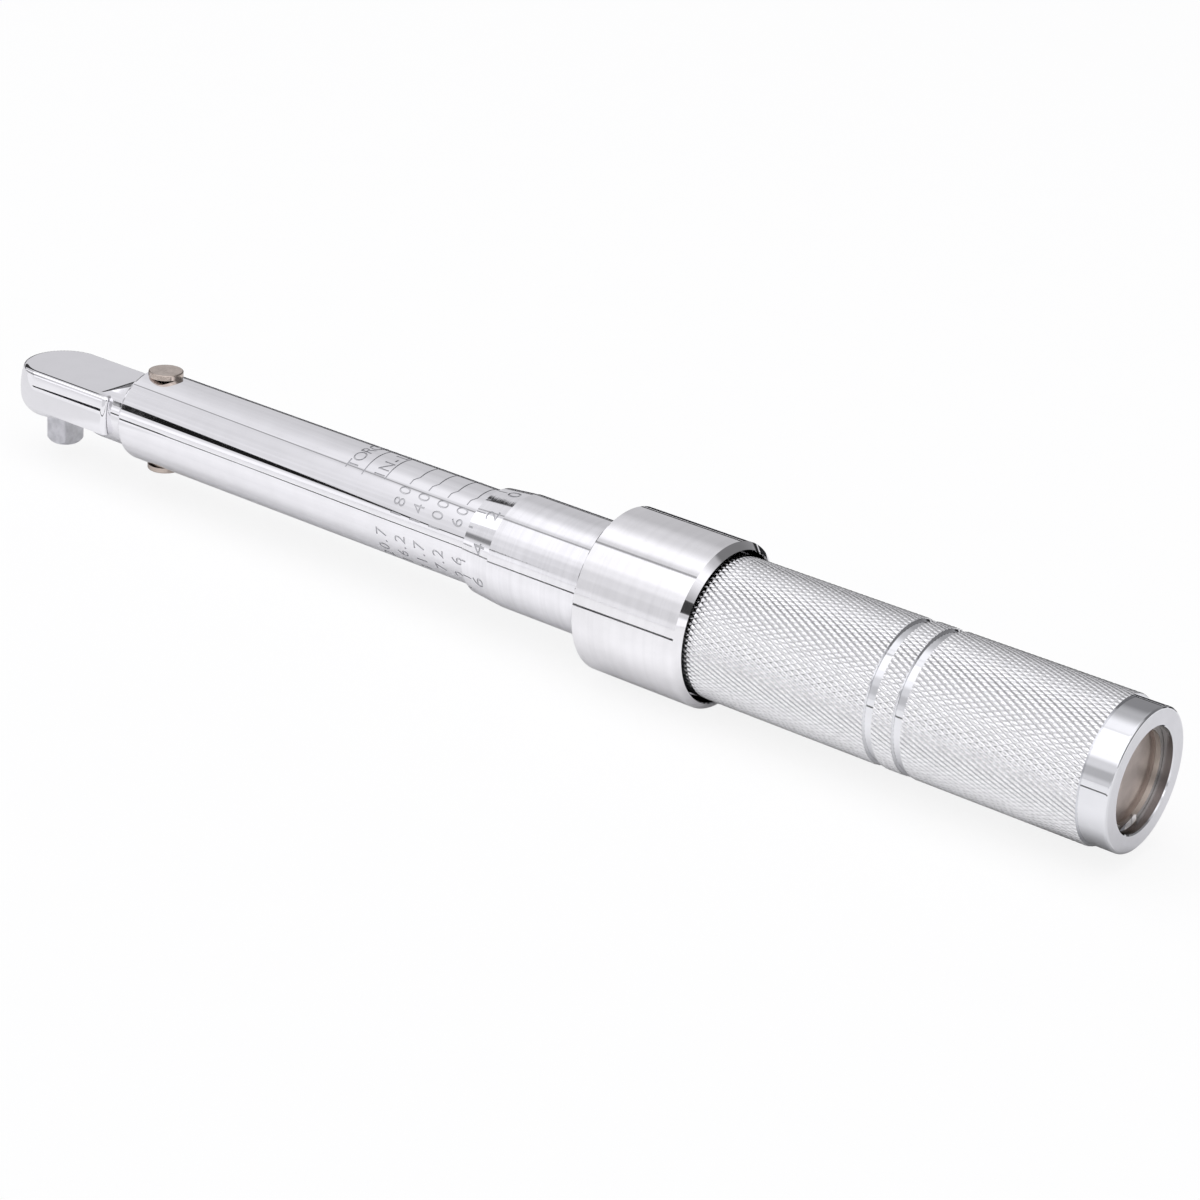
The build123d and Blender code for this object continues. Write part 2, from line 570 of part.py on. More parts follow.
def main():
    parts = {
        "head": make_head(),
        "square_drive": make_square_drive(),
        "detent_ball": make_detent_ball(),
        "detent_spring": make_detent_spring(),
        "tube": make_tube(),
        "pivot_pin": make_pivot_pin(),
        "pivot_screw": make_pivot_screw(),
        "adjusting_nut": make_adjusting_nut(),
        "nut_pin_left": make_nut_pin(1),
        "nut_pin_right": make_nut_pin(-1),
        "tilt_block": make_tilt_block(),
        "plunger": make_plunger(),
        "main_spring": make_main_spring(),
        "spring_seat": make_spring_seat(),
        "thrust_ball": ball(THRUST_BALL_R, (THRUST_BALL_X, 0, AXIS_Z)),
        "adjusting_screw": make_adjusting_screw(),
        "lock_nut": make_lock_nut(),
        "handle": make_handle(),
        "end_plug": make_end_plug(),
        "end_ring": make_end_ring(),
        "lock_ring": make_lock_ring(),
        "lock_spring": make_lock_spring(),
        "stop_clip": make_stop_clip(),
    }
    for index in range(LOCK_BALL_COUNT):
        parts[f"lock_ball_{index + 1}"] = make_lock_ball(index)
    os.makedirs("parts", exist_ok=True)
    for name, solid in parts.items():
        export_step(solid, f"parts/{name}.step")


main()
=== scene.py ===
"""Looks of a click-type torque wrench with a micrometer thimble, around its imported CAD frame.

Sizes are in millimetres until a mesh is made. Stations along the wrench are X values, radii are
about the tube's axis, and an elevation is the angle round that axis from -Y (the near side)
towards +Z (the top).
"""
import math

import bmesh
import bpy
from mathutils import Matrix, Vector

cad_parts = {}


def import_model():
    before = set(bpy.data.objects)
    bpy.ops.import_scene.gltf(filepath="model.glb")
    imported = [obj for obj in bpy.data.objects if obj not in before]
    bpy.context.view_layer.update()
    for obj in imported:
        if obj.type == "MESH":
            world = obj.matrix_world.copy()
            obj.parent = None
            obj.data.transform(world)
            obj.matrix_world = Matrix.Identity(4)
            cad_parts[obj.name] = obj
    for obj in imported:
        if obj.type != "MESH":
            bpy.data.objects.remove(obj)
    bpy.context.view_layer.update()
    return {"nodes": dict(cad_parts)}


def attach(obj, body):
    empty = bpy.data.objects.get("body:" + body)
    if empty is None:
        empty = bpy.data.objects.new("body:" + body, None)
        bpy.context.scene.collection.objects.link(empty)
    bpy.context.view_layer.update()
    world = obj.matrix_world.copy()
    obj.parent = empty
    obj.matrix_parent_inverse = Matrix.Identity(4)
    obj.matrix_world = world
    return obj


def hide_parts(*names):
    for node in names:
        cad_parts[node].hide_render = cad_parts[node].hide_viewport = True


MM = 0.001
AXIS_Z = 6.0

# Floor, and how far the strips on it are lifted
FLOOR_Z = -11.79
FLOOR_REACH = 4000
FLOOR_DROP = 0.01
EDGE_LIFT = 0.1
CARD_LIFT = 0.2

# Camera, as fitted to the photograph
CAMERA_PLACE = (506.878, -474.832, 257.486)
CAMERA_RIGHT = (0.78831719, 0.6115149, 0.06786411)
CAMERA_UP = (-0.29449507, 0.27817701, 0.91427031)
CAMERA_LENS = 92.199

# Tube
TUBE_FRONT = 28.2
TUBE_REAR = 243.4
TUBE_R = 10.7
TUBE_BORE = 9.35
TUBE_EDGE = 0.8
PIVOT_X = 33.2
PIVOT_HOLE = 2.52
NUT_PIN_X = 234.4
NUT_PIN_HOLE = 1.22

# Handle
THIMBLE_FRONT = 132.4
THIMBLE_EDGE_R = 11.86
THIMBLE_R = 12.62
BEVEL_END = 139.9
HANDLE_BORE = 10.76
CLIP_GROOVE = (173.85, 174.95)
CLIP_GROOVE_R = 11.92
GRIP_FRONT = 188.0
GRIP_REAR = 282.4
GRIP_R = 15.22
KNURL_ROOT = 14.95
KNURL_SHALLOW_ROOT = 15.04
UNDER_KNURL = 14.92
GROOVES = (235.5, 242.1)
GROOVE_WIDTH = 2.1
GROOVE_FLOOR = 14.57
GROOVE_FLANK = 0.25
BAND_R = 14.62
END_FACE = 288.6
BAND_ROUND = 0.6
END_BORE = 10.69
BORE_CHAMFER = 0.25
SNAP_GROOVE = (285.35, 286.45)
SNAP_GROOVE_R = 11.54
END_SHOULDER = 283.6
NUT_ROOM = 9.6
WEB_REAR = 277.2
WEB_FRONT = 269.2
STUD_HOLE = 4.02

# Knurl: how flat its crests are worn, how much steeper its grooves are shaded than they are, and
# the height over which the painted shade in a groove fades out
KNURL_COUNT = 80
KNURL_AXIAL_PITCH = 2.55
KNURL_FLAT = 0.14
KNURL_STEEPER = 0.6
GROOVE_SHADE = 0.10

# Engraving
ENGRAVE_DEPTH = 0.14
ENGRAVE_ABOVE = 0.5
LETTER_SIZE = 4.3
LETTER_PITCH = 2.7
BEVEL_LETTER_SIZE = 4.4
BEVEL_LETTER_WIDTH = 1.3
BEVEL_NUMBERS = 10
LINE_WIDTH = 0.3
WRAP_STEP = 0.45
NARROW_PITCH = 0.72

# Headings of the torque scales, with the elevation of their first letter and their station, and
# the lines beside two of them, with their station and elevations
TORQUE_X = 97.7
UNIT_X = 105.5
HEADINGS = (("TORQUE", 55.5, TORQUE_X), ("IN-LB", 54.5, UNIT_X), ("N-M", -106, UNIT_X))
HEADING_LINES = ((99.9, (47, 75, 125)), (106.0, (51, 75, 125)))

# Rows of the torque scales: stations of the first number and the first line, their pitches, the
# elevation of the last digits, and the points of a line
INCH_NUMBERS = ("180", "140", "100", "60")
INCH_NUMBER_X = 113.9
INCH_NUMBER_PITCH = 5.33
INCH_LINE_X = 112.5
INCH_LINE_PITCH = 5.32
INCH_LAST = 46.8
LINE_JOG = 0.9
INCH_LINE = ((0, 56), (0, 63.5), (LINE_JOG, 70), (LINE_JOG, 85), (LINE_JOG, 118))
METRIC_NUMBERS = ("20.7", "16.2", "11.7", "7.2", "2.6")
METRIC_NUMBER_X = 110.3
METRIC_NUMBER_PITCH = 5.34
METRIC_LAST = -11.0
METRIC_LINE_BACK = 1.2
METRIC_LINE = (-66, -82, -105)

# Thimble's ring of numbers and ticks
BEVEL_NUMBER_X = 138.45
BEVEL_ZERO = 86.5
BEVEL_COUNTS_BY = 2
TICK_START = 132.2
LONG_TICK_END = 135.0
LONG_TICK_WIDTH = 0.28
SHORT_TICK_END = 133.7
SHORT_TICK_WIDTH = 0.4

# Detail of the meshes: segments round a turned piece and a cross bar, steps of a rounded corner
SEGMENTS = 256
BAR_SEGMENTS = 64
ROUND_STEPS = 4

# Panels of the studio, each laid over the ones before it: the turns of its two edges, how soft
# they are, and its light at the head's end, in the middle and at the handle's end
WALL_LIGHT = (1.0, 0.86, 0.72)
PANELS = (
    (-30, 7, 3, 3, (1.13, 0.89, 0.72)),
    (7, 22, 3, 3, (0.80, 0.74, 0.50)),
    (22, 35, 4, 4, (0.78, 0.80, 0.79)),
    (35, 46, 4, 4, (0.79, 0.99, 1.25)),
    (45, 72.6, 4, 0.8, (0.785, 1.18, 1.35)),
    (72.6, 82, 0.8, 1.5, (0.77, 0.77, 1.35)),
    (82.5, 108, 4.5, 12, (0.84, 1.15, 1.12)),
    (108, 138, 12, 14, (0.74, 0.74, 0.52)),
    (132, 180, 10, 10, (0.67, 0.57, 0.27)),
    (175, 188, 1.5, 1.5, (0.02, 0.02, 0.02)))

# Slants between which the panels change from one light to the next
HEAD_TO_MIDDLE = (-0.82, -0.64)
MIDDLE_TO_HANDLE = (-0.62, -0.42)

# Thin seam between two soft boxes: slants and turns of its two ends, its half width, its softness,
# the slants over which it ends, and its level
SEAM_SLANTS = (-0.90, -0.715)
SEAM_TURNS = (84.4, 74.6)
SEAM_HALF = 1.4
SEAM_SOFT = 0.8
SEAM_END = (-0.53, -0.50)
SEAM_LIGHT = 0.36

# Dark gap: the slopes of its edges, two each, as slants and the turns that they add, the softness
# of the edges, the slants of its two ends with their softness, and its level
GAP_UPPER = ((-0.90, -0.80, 27.2, 18.4), (-0.80, -0.73, 0.0, -8.6))
GAP_LOWER = ((-0.90, -0.776, 13.2, 10.2), (-0.776, -0.735, 0.0, -2.6))
GAP_SOFT = 0.4
GAP_ENDS = (-0.9105, -0.69, 0.0008, 0.01)
GAP_LIGHT = 0.010

# Spots past the ends of the wrench: the turns of their two edges and how soft they are, the slants
# over which they come in, and their level, or for LOW_END the share of the light that is left
DARK_ROOM = 0.05
NECK_HAZE = ((14, 25, 3), (-0.94, -0.96), 0.26)
RAMP_LINE = ((163, 178, 1), (-1.02, -1.05), DARK_ROOM)
FAR_SHADE = ((122, 172, 4), (0.0, 0.3), 0.20)
HEAD_LINE = ((112, 147.5, 1.5), (-0.918, -0.924), 0.04)
HEAD_GLINT = ((50, 76, 3), (-0.912, -0.918), 1.7)
LOW_END = ((-40, 100, 10), (-1.08, -1.16), 0.62)

# Spots that only the bevels turned to the handle's end see: the slants of their two ends with the
# softness, then turns and level as above. The fading one goes from one level to another by turn.
BEVEL_ENDS = (1.2, 2.3, 0.1)
BEVEL_DARK = ((22, 47, 2), DARK_ROOM)
BEVEL_FADING = (47, 82, 2)
FADING_LEVELS = (48, 84, 0.42, 1.05)
BEVEL_BRIGHT = ((-8, 21, 2), 1.1)
BEVEL_DULLER = ((13, 21, 3, 2), 0.66)

# Plain colours
WHITE = (1.0, 1.0, 1.0, 1.0)
COOL_WHITE = (0.99, 0.985, 1.02, 1.0)
BLACK = (0.0, 0.0, 0.0, 1.0)

# Floor: how far reflected rays see it shaded near the wrench, past the head and under the end
# band, between which places each shade comes or goes, and how much of the floor glows by itself
CLOSE_SHADE = 0.12
CLOSE_Y = (-34, -14)
HEAD_SHADE = 0.14
HEAD_X = (0, -12)
HEAD_Y = (-72, -62)
BAND_SHADE = 0.55
BAND_START_X = (262, 274)
BAND_END_X = (290, 297)
BAND_START_Y = (-21, -4)
BAND_END_Y = (2, 10)
GLOW_SEEN = 0.86
GLOW_REFLECTED = 0.05

# Painted shade at the edges of the table, as dark sheets seen only in reflections: the shadow line
# at its near edge and the dark room past its far edge. Station, near y and far y
NEAR_EDGE_SHADE = (
    (-90, -130, -86), (-60, -124, -90), (-44, -110, -94), (0, -103, -92.5), (45, -91.5, -80.5),
    (88, -89, -79), (104, -92, -78), (120, -96, -78.5), (142, -107, -88), (242, -124, -105),
    (300, -130, -110))
FAR_EDGE_SHADE = ((-900, 125, 900), (900, 125, 900))

# White card behind the head, seen by the square and by the ramp of the neck
BOUNCE_CARD = (
    (-250, 175, 320), (-130, 92, 185), (-60, 40, 105), (-20, 18, 55), (5, 8, 40), (45, 12, 48))
CARD_LIGHT = 1.1

# Lamp
LAMP_SIZE = (1.4, 1.0)
LAMP_ENERGY = 4.6
LAMP_PLACE = (0.1, -0.1, 1.3)


def at(x, radius, elevation):
    """Point in metres at a station, a radius and an elevation in degrees."""
    angle = math.radians(elevation)
    return Vector((x, -radius * math.cos(angle), AXIS_Z + radius * math.sin(angle))) * MM


def add_object(name, mesh):
    obj = bpy.data.objects.new(name, mesh)
    bpy.context.scene.collection.objects.link(obj)
    return obj


# Node helpers

class Nodes:
    """Short calls for building a node tree."""

    def __init__(self, tree, keep=False):
        self.tree = tree
        if not keep:
            tree.nodes.clear()

    def add(self, kind, inputs=None, **settings):
        node = self.tree.nodes.new(kind)
        for key, value in settings.items():
            setattr(node, key, value)
        for key, value in (inputs or {}).items():
            self.put(node.inputs[key], value)
        return node

    def put(self, socket, value):
        if isinstance(value, bpy.types.NodeSocket):
            self.tree.links.new(value, socket)
        else:
            socket.default_value = value

    def math(self, operation, first, second=0.0):
        return self.add("ShaderNodeMath", {0: first, 1: second}, operation=operation).outputs[0]

    def ramp(self, value, low, high, to_low=0.0, to_high=1.0, kind="SMOOTHSTEP"):
        node = self.add("ShaderNodeMapRange", {
            "Value": value, "From Min": low, "From Max": high, "To Min": to_low, "To Max": to_high},
            interpolation_type=kind)
        return node.outputs["Result"]

    def mix_value(self, factor, first, second):
        node = self.add("ShaderNodeMix", {"Factor": factor, 2: first, 3: second}, data_type="FLOAT")
        return node.outputs[0]

    def mix_colour(self, factor, first, second):
        node = self.add("ShaderNodeMix", {"Factor": factor, 6: first, 7: second}, data_type="RGBA")
        return node.outputs[2]

    def place(self, scale):
        """Object coordinates scaled along X, Y and Z."""
        coordinates = self.add("ShaderNodeTexCoord").outputs["Object"]
        mapping = self.add("ShaderNodeMapping", {"Vector": coordinates, "Scale": scale})
        return mapping.outputs["Vector"]

    def noise(self, scale, size=1.0, detail=3.0, roughness=0.55):
        node = self.add("ShaderNodeTexNoise", {
            "Vector": self.place(scale), "Scale": size, "Detail": detail, "Roughness": roughness})
        return node.outputs["Fac"]

    def bump(self, height, strength, distance, normal=None):
        inputs = {"Height": height, "Strength": strength, "Distance": distance}
        if normal is not None:
            inputs["Normal"] = normal
        return self.add("ShaderNodeBump", inputs).outputs["Normal"]


# Finishes

def metal(name, colour, roughness, spread=0.03, mottle=0.03, mottle_scale=180.0, lines=(), streaks=()):
    """Metal with a slight change of tint and gloss over it, and fine tool marks.

    lines gives the marks: scale of the noise along X, Y and Z, and their depth in metres. streaks
    gives the same scale for duller streaks in the tint, and how much duller they are.
    """
    material = bpy.data.materials.new(name)
    material.use_nodes = True
    tree = Nodes(material.node_tree)
    even = (mottle_scale, mottle_scale, mottle_scale)
    cloud = tree.noise(even, detail=4.0)
    darker = tuple(c * (1.0 - mottle) for c in colour) + (1.0,)
    tint = tree.mix_colour(tree.ramp(cloud, 0.35, 0.65), colour + (1.0,), darker)
    for scale, duller in streaks:
        streak = tree.ramp(tree.noise(scale, detail=4.0), 0.38, 0.66, 0.0, duller)
        tint = tree.mix_colour(streak, tint, BLACK)
    gloss = tree.ramp(cloud, 0.3, 0.7, roughness - spread / 2, roughness + spread / 2, "LINEAR")
    shader = tree.add("ShaderNodeBsdfPrincipled", {
        "Base Color": tint, "Metallic": 1.0, "Roughness": gloss})
    normal = None
    for scale, depth in lines:
        normal = tree.bump(tree.noise(scale, detail=2.0), 1.0, depth, normal)
    if normal is not None:
        tree.put(shader.inputs["Normal"], normal)
    tree.add("ShaderNodeOutputMaterial", {"Surface": shader.outputs["BSDF"]})
    return material


def make_materials():
    """Every finish of the wrench, by name."""
    chrome = (0.90, 0.895, 0.915)
    drawn = (6.0, 900.0, 900.0)
    drawn_coarse = (3.0, 260.0, 260.0)
    turned = (2600.0, 0.6, 0.6)
    turned_coarse = (520.0, 1.5, 1.5)
    patches = (60.0, 90.0, 90.0)
    return {
        "chrome_head": metal(
            "chrome_head", chrome, 0.03, mottle=0.02, lines=[((130, 130, 130), 8e-6)]),
        "chrome_tube": metal(
            "chrome_tube", (0.93, 0.925, 0.945), 0.032, mottle=0.03,
            lines=[(drawn, 0.8e-6), (drawn_coarse, 3e-6)], streaks=[((2.0, 420.0, 420.0), 0.07)]),
        "chrome_engraved": metal(
            "chrome_engraved", (0.60, 0.60, 0.615), 0.26, lines=[((900, 900, 900), 4e-6)]),
        "chrome_turned": metal(
            "chrome_turned", (0.96, 0.955, 0.975), 0.06,
            lines=[(turned, 3.2e-6), (turned_coarse, 6e-6)],
            streaks=[((620.0, 4.0, 4.0), 0.06), (patches, 0.05)]),
        "chrome_ring": metal(
            "chrome_ring", (0.94, 0.933, 0.945), 0.055,
            lines=[(turned, 2.8e-6), (turned_coarse, 6e-6)],
            streaks=[((560.0, 4.0, 4.0), 0.035), (patches, 0.05)]),
        "chrome_band": metal(
            "chrome_band", (0.85, 0.855, 0.875), 0.05, lines=[(turned, 1.0e-6)]),
        # End face: rougher chrome, its colour darker than the band's as painted shade
        "shaded_face_chrome": metal(
            "shaded_face_chrome", (0.77, 0.77, 0.795), 0.14, mottle=0.05, lines=[((900, 900, 900), 2e-6)]),
        "chrome_knurl": knurl_with_groove_shade("chrome_knurl"),
        "drive_steel": metal(
            "drive_steel", (0.76, 0.76, 0.79), 0.6, spread=0.1, mottle=0.14, mottle_scale=420.0,
            lines=[((1400, 1400, 1400), 1.2e-5), ((300, 300, 2600), 5e-6)]),
        "pin_nickel": metal(
            "pin_nickel", (0.61, 0.525, 0.465), 0.22, spread=0.08, mottle=0.12, mottle_scale=600.0,
            lines=[((900, 2600, 900), 5e-6)]),
        "bore_steel": metal(
            "bore_steel", (0.33, 0.32, 0.325), 0.22, mottle=0.1, lines=[(turned, 4e-6)]),
        "disc_plate": metal(
            "disc_plate", (0.60, 0.525, 0.48), 0.34, spread=0.1, mottle=0.2, mottle_scale=160.0,
            lines=[((700, 700, 700), 8e-6)]),
        "ring_steel": metal(
            "ring_steel", (0.70, 0.67, 0.63), 0.2, mottle=0.1, lines=[((1200, 1200, 1200), 5e-6)]),
        "inner_steel": metal(
            "inner_steel", (0.55, 0.56, 0.57), 0.3, spread=0.1, mottle=0.1,
            lines=[(turned_coarse, 6e-6)]),
        "spring_steel": metal(
            "spring_steel", (0.22, 0.225, 0.24), 0.35, spread=0.1, mottle=0.15,
            lines=[((800, 800, 800), 6e-6)]),
        "ball_steel": metal(
            "ball_steel", (0.80, 0.80, 0.82), 0.08, mottle=0.03, lines=[((400, 400, 400), 1e-6)]),
        "brass": metal(
            "brass", (0.78, 0.62, 0.33), 0.25, spread=0.08, mottle=0.1, lines=[(turned, 4e-6)]),
    }


def knurl_with_groove_shade(name):
    """Bright crests and painted shade in the grooves, by the height above the bottom of the knurl."""
    # Colour of the painted shade at the bottom of a groove
    shaded_groove_colour = (0.62, 0.62, 0.63, 1.0)
    material = metal(name, (0.98, 0.98, 0.985), 0.16, spread=0.06, mottle=0.14, mottle_scale=1100.0,
                     lines=[((1500, 1500, 1500), 1.2e-5)])
    tree = Nodes(material.node_tree, keep=True)
    shader = next(n for n in material.node_tree.nodes if n.type == "BSDF_PRINCIPLED")
    crest = shader.inputs["Base Color"].links[0].from_socket
    coordinates = tree.add("ShaderNodeTexCoord").outputs["Object"]
    parts = tree.add("ShaderNodeSeparateXYZ", {"Vector": coordinates})
    height = tree.math("SUBTRACT", parts.outputs["Z"], AXIS_Z * MM)
    across = tree.math("ADD", tree.math("MULTIPLY", height, height),
                       tree.math("MULTIPLY", parts.outputs["Y"], parts.outputs["Y"]))
    radius = tree.math("DIVIDE", tree.math("SQRT", across), MM)
    # Painted shade, darkest at the bottom of the grooves and gone GROOVE_SHADE above it
    unshaded_share = tree.ramp(radius, KNURL_ROOT, KNURL_ROOT + GROOVE_SHADE)
    tree.put(shader.inputs["Base Color"], tree.mix_colour(unshaded_share, shaded_groove_colour, crest))
    return material


def wear(node, material):
    """Gives a CAD node its finish, its shape as it is."""
    node.data.materials.clear()
    node.data.materials.append(material)


# Turned pieces

def turned_mesh(name, profile):
    """Closed piece turned from (station, radius) points, in order round its section."""
    vertices = []
    for x, radius in profile:
        for index in range(SEGMENTS):
            vertices.append(at(x, radius, index * 360 / SEGMENTS))
    faces = []
    count = len(profile)
    for ring in range(count):
        first = ring * SEGMENTS
        second = (ring + 1) % count * SEGMENTS
        for index in range(SEGMENTS):
            following = (index + 1) % SEGMENTS
            faces.append((first + index, first + following, second + following, second + index))
    mesh = bpy.data.meshes.new(name)
    mesh.from_pydata(vertices, [], faces)
    mesh.validate()
    fix_normals(mesh)
    return mesh


def fix_normals(mesh):
    work = bmesh.new()
    work.from_mesh(mesh)
    bmesh.ops.recalc_face_normals(work, faces=work.faces)
    work.to_mesh(mesh)
    work.free()


def set_turned_normals(mesh, profile):
    """Exact normals on the turned surfaces, and flat ones on whatever is cut into them."""
    segments = []
    for index, (x, radius) in enumerate(profile):
        next_x, next_radius = profile[(index + 1) % len(profile)]
        run, rise = next_x - x, next_radius - radius
        length = math.hypot(run, rise)
        if length > 0:
            segments.append((x, radius, run / length, rise / length, length))
    mesh.polygons.foreach_set("use_smooth", [True] * len(mesh.polygons))
    normals = [None] * len(mesh.loops)
    for polygon in mesh.polygons:
        places = []
        for vertex in polygon.vertices:
            co = mesh.vertices[vertex].co / MM
            places.append((co.x, math.hypot(co.y, co.z - AXIS_Z), co))
        match = next((s for s in segments if all(on_segment(p, s) for p in places)), None)
        for loop, (x, radius, co) in zip(polygon.loop_indices, places):
            if match is None or radius < 1e-6:
                normals[loop] = polygon.normal
                continue
            run, rise = match[2], match[3]
            outward = Vector((0, co.y, co.z - AXIS_Z)).normalized()
            normal = Vector((-rise, 0, 0)) + outward * run
            normals[loop] = normal if normal.dot(polygon.normal) > 0 else -normal
    mesh.normals_split_custom_set(normals)


def on_segment(place, segment):
    """True where a (station, radius, point) place lies on a segment of the profile."""
    x, radius, _ = place
    start_x, start_radius, run, rise, length = segment
    along = (x - start_x) * run + (radius - start_radius) * rise
    across = abs((radius - start_radius) * run - (x - start_x) * rise)
    return across < 0.004 and -0.01 < along < length + 0.01


def rounded_corner(x, radius, size, inward):
    """Quarter round from the end face at x to the outside, the piece lying to the inward side."""
    points = []
    for step in range(ROUND_STEPS, -1, -1):
        angle = math.radians(90 * step / ROUND_STEPS)
        along = inward * size * (1 - math.sin(angle))
        points.append((x + along, radius - size * (1 - math.cos(angle))))
    return points


# Engraving

def character(symbol, elevation, x, size=LETTER_SIZE, width=1.0):
    """Flat mesh of one character, with the elevation and the station that it is wrapped to."""
    curve = bpy.data.curves.new("character", "FONT")
    curve.body = symbol
    curve.size = size * MM
    curve.align_x = "CENTER"
    curve.resolution_u = 4
    curve.extrude = (ENGRAVE_ABOVE + ENGRAVE_DEPTH) / 2 * MM
    obj = bpy.data.objects.new("character", curve)
    bpy.context.scene.collection.objects.link(obj)
    graph = bpy.context.evaluated_depsgraph_get()
    mesh = bpy.data.meshes.new_from_object(obj.evaluated_get(graph))
    bpy.data.objects.remove(obj)
    work = bmesh.new()
    work.from_mesh(mesh)
    bpy.data.meshes.remove(mesh)
    bmesh.ops.remove_doubles(work, verts=work.verts, dist=1e-7)
    for vertex in work.verts:
        vertex.co = Vector((vertex.co.x / MM * width, vertex.co.y / MM, vertex.co.z / MM))
    return work, elevation, x


def number_row(text, last, base_x, **style):
    """Characters read towards the top of the tube, the last one centred at an elevation."""
    pieces = []
    elevation = last
    pitch = math.degrees(LETTER_PITCH / TUBE_R)
    for index in range(len(text) - 1, -1, -1):
        pieces.append(character(text[index], elevation, base_x, **style))
        narrow = "." in text[max(index - 1, 0):index + 1]
        elevation -= pitch * (NARROW_PITCH if narrow else 1.0)
    return pieces


def word(text, first, base_x):
    """Characters read towards the top of the tube, the first one centred at an elevation."""
    pitch = math.degrees(LETTER_PITCH / TUBE_R)
    return [character(symbol, first + index * pitch, base_x) for index, symbol in enumerate(text)]


def engraved_line(points, radius=TUBE_R, width=LINE_WIDTH):
    """Groove laid flat along (station, elevation) points, square at its ends."""
    work = bmesh.new()
    lows, highs = [], []
    first = points[0][1]
    flat = [(math.radians(elevation - first) * radius, -x) for x, elevation in points]
    z = (ENGRAVE_ABOVE + ENGRAVE_DEPTH) / 2
    for index, (a, b) in enumerate(flat):
        before = flat[max(index - 1, 0)]
        after = flat[min(index + 1, len(flat) - 1)]
        direction = Vector((after[0] - before[0], after[1] - before[1])).normalized()
        side = Vector((-direction.y, direction.x)) * width / 2
        corners = [(a + side.x, b + side.y), (a - side.x, b - side.y)]
        lows.append([work.verts.new((p, q, -z)) for p, q in corners])
        highs.append([work.verts.new((p, q, z)) for p, q in corners])
    for index in range(len(flat) - 1):
        low, next_low = lows[index], lows[index + 1]
        high, next_high = highs[index], highs[index + 1]
        work.faces.new((high[0], high[1], next_high[1], next_high[0]))
        work.faces.new((low[1], low[0], next_low[0], next_low[1]))
        work.faces.new((low[0], high[0], next_high[0], next_low[0]))
        work.faces.new((high[1], low[1], next_low[1], next_high[1]))
    work.faces.new((lows[0][0], lows[0][1], highs[0][1], highs[0][0]))
    work.faces.new((lows[-1][1], lows[-1][0], highs[-1][0], highs[-1][1]))
    bmesh.ops.recalc_face_normals(work, faces=work.faces)
    return work, first, 0.0


def wrap(pieces, radius_at):
    """Joins flat engraving pieces into the vertices and faces of one cutter round the axis."""
    vertices, faces = [], []
    middle = (ENGRAVE_ABOVE - ENGRAVE_DEPTH) / 2
    for work, elevation, x in pieces:
        bmesh.ops.triangulate(work, faces=work.faces)
        spans = [v.co.x for v in work.verts]
        cut = math.ceil(min(spans) / WRAP_STEP) * WRAP_STEP
        while cut < max(spans):
            geometry = work.verts[:] + work.edges[:] + work.faces[:]
            bmesh.ops.bisect_plane(
                work, geom=geometry, plane_co=(cut, 0, 0), plane_no=(1, 0, 0), dist=1e-5)
            cut += WRAP_STEP
        bmesh.ops.triangulate(work, faces=work.faces)
        start = len(vertices)
        work.verts.index_update()
        for vertex in work.verts:
            station = x - vertex.co.y
            surface = radius_at(station)
            angle = elevation + math.degrees(vertex.co.x / surface)
            vertices.append(at(station, surface + middle + vertex.co.z, angle))
        for face in work.faces:
            faces.append([start + v.index for v in face.verts])
        work.free()
    return vertices, faces


def cross_bar(x, radius, direction):
    """Vertices and faces of a round bar through the tube's axis, to cut a cross hole."""
    side = Vector((1, 0, 0))
    up = direction.cross(side)
    count = BAR_SEGMENTS
    vertices = []
    for end in (-1, 1):
        for index in range(count):
            angle = math.tau * index / count
            spot = side * math.cos(angle) * radius + up * math.sin(angle) * radius
            vertices.append((Vector((x, 0, AXIS_Z)) + direction * end * 2 * TUBE_R + spot) * MM)
    faces = [list(range(count)), list(range(count, 2 * count))]
    for index in range(count):
        following = (index + 1) % count
        faces.append([index, following, count + following, count + index])
    return vertices, faces


def cutter_mesh(*parts):
    """One cutter from several (vertices, faces) pairs."""
    vertices, faces = [], []
    for part_vertices, part_faces in parts:
        start = len(vertices)
        vertices += part_vertices
        faces += [[start + index for index in face] for face in part_faces]
    mesh = bpy.data.meshes.new("cutter")
    mesh.from_pydata(vertices, [], faces)
    mesh.validate()
    fix_normals(mesh)
    return mesh


def carve(name, mesh, cutter, finish, cut_finish):
    """Cuts the cutter out of a mesh, the cut faces in their own finish."""
    body = add_object(name, mesh)
    tool = add_object(name + "_cutter", cutter)
    mesh.materials.append(finish)
    mesh.materials.append(cut_finish)
    cutter.materials.append(cut_finish)
    modifier = body.modifiers.new("carve", "BOOLEAN")
    modifier.object = tool
    modifier.operation = "DIFFERENCE"
    modifier.solver = "MANIFOLD"
    bpy.context.view_layer.update()
    graph = bpy.context.evaluated_depsgraph_get()
    result = bpy.data.meshes.new_from_object(body.evaluated_get(graph))
    bpy.data.objects.remove(tool)
    body.modifiers.clear()
    body.data = result
    result.name = name
    return body


# Pieces of the tube

def tube_profile():
    front = [(TUBE_FRONT, TUBE_BORE)] + rounded_corner(TUBE_FRONT, TUBE_R, TUBE_EDGE, 1)
    return front + [(TUBE_REAR, TUBE_R), (TUBE_REAR, TUBE_BORE)]


